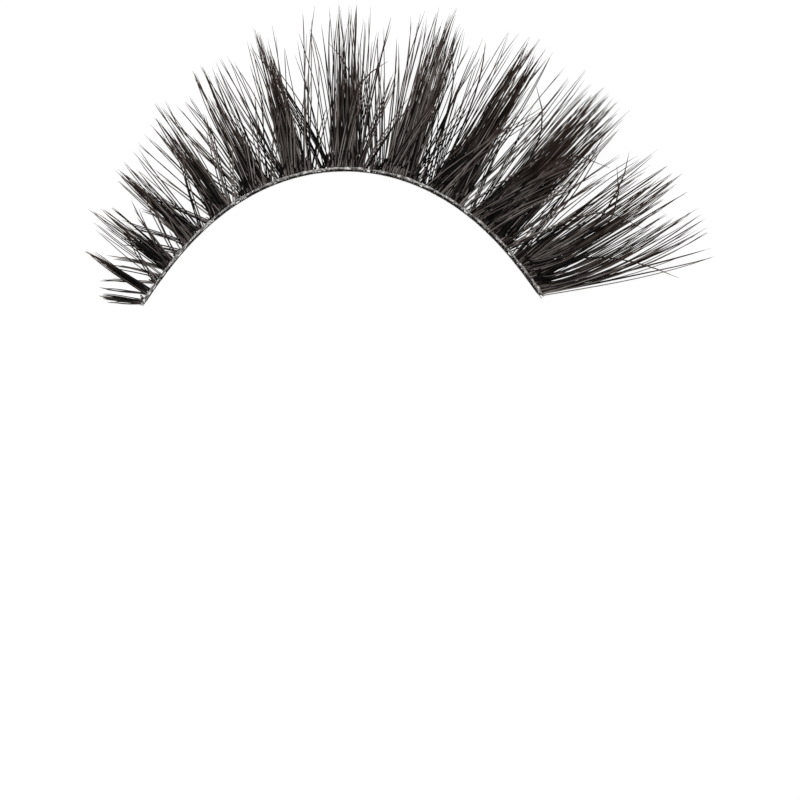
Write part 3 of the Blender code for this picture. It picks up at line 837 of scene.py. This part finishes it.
def make_band_tree():
    tree = Tree("Band sweep")
    tree.port("Geometry", "NodeSocketGeometry")
    tree.port("Lid Arc", "NodeSocketObject")
    tree.port("Start", "NodeSocketFloat", 0.0)
    tree.port("End", "NodeSocketFloat", 1.0)
    tree.port("Width", "NodeSocketFloat", BAND_WIDTH)
    tree.port("Height", "NodeSocketFloat", BAND_WIDTH)
    tree.port("Out Start", "NodeSocketFloat", 0.0)
    tree.port("Out End", "NodeSocketFloat", 0.0)
    tree.port("Z", "NodeSocketFloat", 0.0)
    tree.port("Unevenness", "NodeSocketFloat", 0.1)
    tree.port("Lumps Per Metre", "NodeSocketFloat", 900.0)
    tree.port("Rings", "NodeSocketInt", BAND_RINGS)
    tree.port("Material", "NodeSocketMaterial")
    tree.group.interface.new_socket(name="Geometry", in_out="OUTPUT", socket_type="NodeSocketGeometry")
    given = tree.add("NodeGroupInput").outputs
    arc = tree.add("GeometryNodeObjectInfo", {"Object": given["Lid Arc"]})
    cut = tree.add(
        "GeometryNodeTrimCurve",
        {"Curve": arc.outputs["Geometry"], "Start": given["Start"], "End": given["End"]},
        mode="LENGTH",
    )
    line = tree.add("GeometryNodeResampleCurve", {"Curve": cut.outputs[0], "Count": given["Rings"]})
    share = tree.add("GeometryNodeSplineParameter")
    way = tree.add("GeometryNodeInputTangent").outputs[0]
    out = tree.mix(given["Out Start"], given["Out End"], share.outputs["Factor"])
    offset = tree.lifted(tree.scaled(tree.outward(way), out), given["Z"])
    line = tree.add("GeometryNodeSetPosition", {"Geometry": line.outputs[0], "Offset": offset})
    inset = tree.math("MINIMUM", share.outputs["Factor"], tree.math("SUBTRACT", 1.0, share.outputs["Factor"]))
    tip = tree.add(
        "ShaderNodeMapRange",
        {"Value": inset, "From Min": 0.0, "From Max": END_SHARE, "To Min": END_GIRTH, "To Max": 1.0},
        interpolation_type="SMOOTHSTEP",
    )
    lumps = tree.add("ShaderNodeTexNoise", {"Scale": given["Lumps Per Metre"], "Detail": 2.0})
    lump = tree.math("SUBTRACT", lumps.outputs[0], 0.5)
    lump = tree.math("MULTIPLY_ADD", lump, given["Unevenness"], 1.0)
    lump = tree.math("MAXIMUM", lump, LEAST_GIRTH)
    girth = tree.math("MULTIPLY", tip.outputs[0], lump)
    form = tree.add(
        "GeometryNodeCurvePrimitiveQuadrilateral",
        {"Width": given["Width"], "Height": given["Height"]},
    )
    form = tree.add(
        "GeometryNodeFilletCurve",
        {"Curve": form.outputs[0], "Count": 2, "Radius": tree.math("MULTIPLY", given["Height"], ROUNDING)},
        mode="POLY",
    )
    skin = tree.add(
        "GeometryNodeCurveToMesh",
        {"Curve": line.outputs[0], "Profile Curve": form.outputs[0], "Scale": girth, "Fill Caps": True},
    )
    tree.close(skin.outputs[0], given["Material"])
    return tree


band_tree = make_band_tree()
print("band tree:", len(band_tree.group.nodes), "nodes")

# %% Clear plastic, milky glue and dark thread
def make_band_material():
    material, tree, shader = new_material("clear_band_plastic")
    shader.inputs["Base Color"].default_value = (0.90, 0.90, 0.89, 1.0)
    shader.inputs["Roughness"].default_value = 0.12
    shader.inputs["IOR"].default_value = 1.30
    shader.inputs["Transmission Weight"].default_value = 1.0
    return material


# Each tone is a place on the noise and the colour there.
GLUE_TONES = (
    (0.36, (0.045, 0.040, 0.037)),
    (0.50, (0.130, 0.123, 0.118)),
    (0.60, (0.280, 0.272, 0.265)),
    (0.76, (0.680, 0.675, 0.665)),
)
THREAD_TONES = (
    (0.40, (0.012, 0.010, 0.009)),
    (0.60, (0.130, 0.120, 0.115)),
)


def make_streaked_material(name, tones, scale, roughness, gloss):
    material, tree, shader = new_material(name)
    tree.links.new(colour_ramp(tree, tones, object_noise(tree, scale, 3.0)), shader.inputs["Base Color"])
    shader.inputs["Roughness"].default_value = roughness
    shader.inputs["Specular IOR Level"].default_value = gloss
    return material


band_material = make_band_material()
glue_material = make_streaked_material("milky_glue", GLUE_TONES, 4200.0, 0.38, 0.35)
thread_material = make_streaked_material("dark_thread", THREAD_TONES, 2600.0, 0.55, 0.10)
print("band materials:", [m.name for m in (band_material, glue_material, thread_material)])

# %% Sweep the band
BAND_START = -17.0 * MM
BAND_END = 16.4 * MM


def grow_on_arc(name, tree, values):
    """A piece that the tree lays along the band. It stands for a part of the band's solid."""
    start = bpy.data.objects.new(name + "_start", bpy.data.meshes.new(name + "_start"))
    bpy.context.scene.collection.objects.link(start)
    ends = {"Lid Arc": guide, "Start": BAND_START - GUIDE_START, "End": BAND_END - GUIDE_START}
    give_nodes(start, tree, {**ends, **values})
    piece = plain_mesh(start, name)
    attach(piece, "root")
    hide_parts("band")
    print(piece.name, "faces:", len(piece.data.polygons))


# Name, width, height, how far out its middle lies at the start and at the end, how high its middle
# lies, all in millimetres, then unevenness, lumps to the metre, material and slot.
SWEEPS = (
    ("clear_band", 0.38, 0.28, 0.19, 0.19, 0.14, 0.12, 900.0, band_material, "clear_band"),
    ("band_thread", 0.09, 0.08, 0.05, 0.08, 0.10, 1.3, 1600.0, thread_material, "lash_fibre"),
    ("glue_line", 0.15, 0.06, 0.18, 0.27, 0.285, 2.6, 1500.0, glue_material, "clear_band"),
)
for name, width, height, out_start, out_end, z, unevenness, lumps, material, slot in SWEEPS:
    sizes = {"Width": width, "Height": height, "Out Start": out_start, "Out End": out_end, "Z": z}
    values = {port: size * MM for port, size in sizes.items()}
    values.update({"Unevenness": unevenness, "Lumps Per Metre": lumps, "Material": material})
    grow_on_arc(name, band_tree, values)

# %% [markdown]
# ## Beads of glue
# Dried glue stands on the band in small clear beads that catch the light as specks. A texture could
# paint the specks, but they wouldn't stand proud of the band. So a third tree strews low balls along
# the arc, and its random numbers slide and stretch each one. A ball has eighty faces, which is
# enough for a bead a tenth of a millimetre across.

# %% A tree that strews beads
BEAD_COUNT = 90
BEAD_RADIUS = 0.045 * MM
BEAD_OUT = (0.13 * MM, 0.32 * MM)
BEAD_SLIDE = 0.25 * MM
BEAD_Z = 0.29 * MM
BEAD_SEED = 7.0


def make_bead_tree():
    tree = Tree("Glue beads")
    tree.port("Geometry", "NodeSocketGeometry")
    tree.port("Lid Arc", "NodeSocketObject")
    tree.port("Start", "NodeSocketFloat", 0.0)
    tree.port("End", "NodeSocketFloat", 1.0)
    tree.port("Count", "NodeSocketInt", BEAD_COUNT)
    tree.port("Bead Radius", "NodeSocketFloat", BEAD_RADIUS)
    tree.port("Slide", "NodeSocketFloat", BEAD_SLIDE)
    tree.port("Z", "NodeSocketFloat", BEAD_Z)
    tree.port("Seed", "NodeSocketFloat", BEAD_SEED)
    tree.port("Material", "NodeSocketMaterial")
    tree.group.interface.new_socket(name="Geometry", in_out="OUTPUT", socket_type="NodeSocketGeometry")
    given = tree.add("NodeGroupInput").outputs
    seed = given["Seed"]
    arc = tree.add("GeometryNodeObjectInfo", {"Object": given["Lid Arc"]})
    cut = tree.add(
        "GeometryNodeTrimCurve",
        {"Curve": arc.outputs["Geometry"], "Start": given["Start"], "End": given["End"]},
        mode="LENGTH",
    )
    line = tree.add("GeometryNodeResampleCurve", {"Curve": cut.outputs[0], "Count": given["Count"]})
    way = tree.add("GeometryNodeInputTangent").outputs[0]
    out = tree.chance(*BEAD_OUT, 1, seed)
    slide = tree.chance(tree.math("MULTIPLY", given["Slide"], -1.0), given["Slide"], 2, seed)
    shift = tree.joined(tree.scaled(tree.outward(way), out), tree.scaled(way, slide))
    offset = tree.lifted(shift, given["Z"])
    line = tree.add("GeometryNodeSetPosition", {"Geometry": line.outputs[0], "Offset": offset})
    spots = tree.add("GeometryNodeCurveToPoints", {"Curve": line.outputs[0]}, mode="EVALUATED")
    bead = tree.add("GeometryNodeMeshIcoSphere", {"Radius": given["Bead Radius"], "Subdivisions": 2})
    size = tree.add(
        "ShaderNodeCombineXYZ",
        {"X": tree.chance(0.5, 1.5, 3, seed), "Y": tree.chance(0.5, 1.0, 4, seed), "Z": 0.7},
    )
    turn = spots.outputs["Rotation"]
    beads = tree.add(
        "GeometryNodeInstanceOnPoints",
        {"Points": spots.outputs[0], "Instance": bead.outputs[0], "Rotation": turn, "Scale": size.outputs[0]},
    )
    tree.close(beads.outputs[0], given["Material"])
    return tree


def make_bead_material():
    material, tree, shader = new_material("clear_glue_bead")
    shader.inputs["Base Color"].default_value = (0.45, 0.45, 0.44, 1.0)
    shader.inputs["Roughness"].default_value = 0.22
    shader.inputs["Specular IOR Level"].default_value = 0.5
    return material


bead_values = {"Count": BEAD_COUNT, "Bead Radius": BEAD_RADIUS, "Seed": BEAD_SEED}
bead_values["Material"] = make_bead_material()
grow_on_arc("glue_beads", make_bead_tree(), bead_values)
bpy.data.objects.remove(guide)

# %% [markdown]
# ## Floor, light and camera
# The strip lies on a white table and is seen from straight above. A long lens keeps near and far
# tips at their true lengths, and two large soft lights keep the fibres' shine faint. A plain white
# table would do, but the strip's shadow would grey it. This one also glows by itself, so it stays
# white and shows only a trace of the shadow. It is a stage, and no part of the strip.

# %% Floor
FLOOR_HALF = 1.0
FLOOR_DEPTH = 0.02 * MM
FLOOR_GLOW = 0.90


def make_floor():
    data = bpy.data.meshes.new("floor")
    h = FLOOR_HALF
    data.from_pydata([(-h, -h, 0.0), (h, -h, 0.0), (h, h, 0.0), (-h, h, 0.0)], [], [(0, 1, 2, 3)])
    floor = bpy.data.objects.new("floor", data)
    floor.location.z = -FLOOR_DEPTH
    bpy.context.scene.collection.objects.link(floor)
    material, tree, shader = new_material("white_table")
    shader.inputs["Base Color"].default_value = (0.10, 0.10, 0.10, 1.0)
    shader.inputs["Roughness"].default_value = 0.9
    shader.inputs["Specular IOR Level"].default_value = 0.0
    shader.inputs["Emission Color"].default_value = (1.0, 1.0, 1.0, 1.0)
    shader.inputs["Emission Strength"].default_value = FLOOR_GLOW
    data.materials.append(material)


make_floor()
print("floor:", 2 * FLOOR_HALF, "m square")

# %% Light
STUDIO_BRIGHTNESS = 0.45

world = bpy.data.worlds.new("white_studio")
world.use_nodes = True
world.node_tree.nodes["Background"].inputs["Color"].default_value = (1.0, 1.0, 1.0, 1.0)
world.node_tree.nodes["Background"].inputs["Strength"].default_value = STUDIO_BRIGHTNESS
bpy.context.scene.world = world


def add_soft_light(name, place, size, watts):
    light = bpy.data.lights.new(name, "AREA")
    light.shape = "SQUARE"
    light.size = size
    light.energy = watts
    lamp = bpy.data.objects.new(name, light)
    lamp.location = place
    lamp.rotation_euler = (-Vector(place)).to_track_quat("-Z", "Y").to_euler()
    bpy.context.scene.collection.objects.link(lamp)
    print("light:", name, watts, "W")


add_soft_light("key", (-0.08, 0.26, 0.45), 0.16, 2.0)
add_soft_light("side", (0.28, 0.02, 0.42), 0.16, 1.2)

# %% Camera
# The view is 53.66 mm wide at the strip, which lies in its upper half.
VIEW_WIDTH = 53.66 * MM
VIEW_CENTRE = crown + Vector((3.73 * MM, -15.32 * MM, 0.0))
SENSOR = 36.0
LENS = 600.0

camera_data = bpy.data.cameras.new("camera")
camera_data.lens = LENS
camera_data.sensor_width = SENSOR
camera_data.clip_start = 0.01
camera_data.clip_end = 10.0
camera = bpy.data.objects.new("camera", camera_data)
camera.location = VIEW_CENTRE + Vector((0.0, 0.0, VIEW_WIDTH * LENS / SENSOR))
bpy.context.scene.collection.objects.link(camera)
bpy.context.scene.camera = camera
bpy.context.scene.view_settings.view_transform = "Standard"
bpy.context.scene.view_settings.look = "None"
print("camera in mm:", in_mm(camera.location))
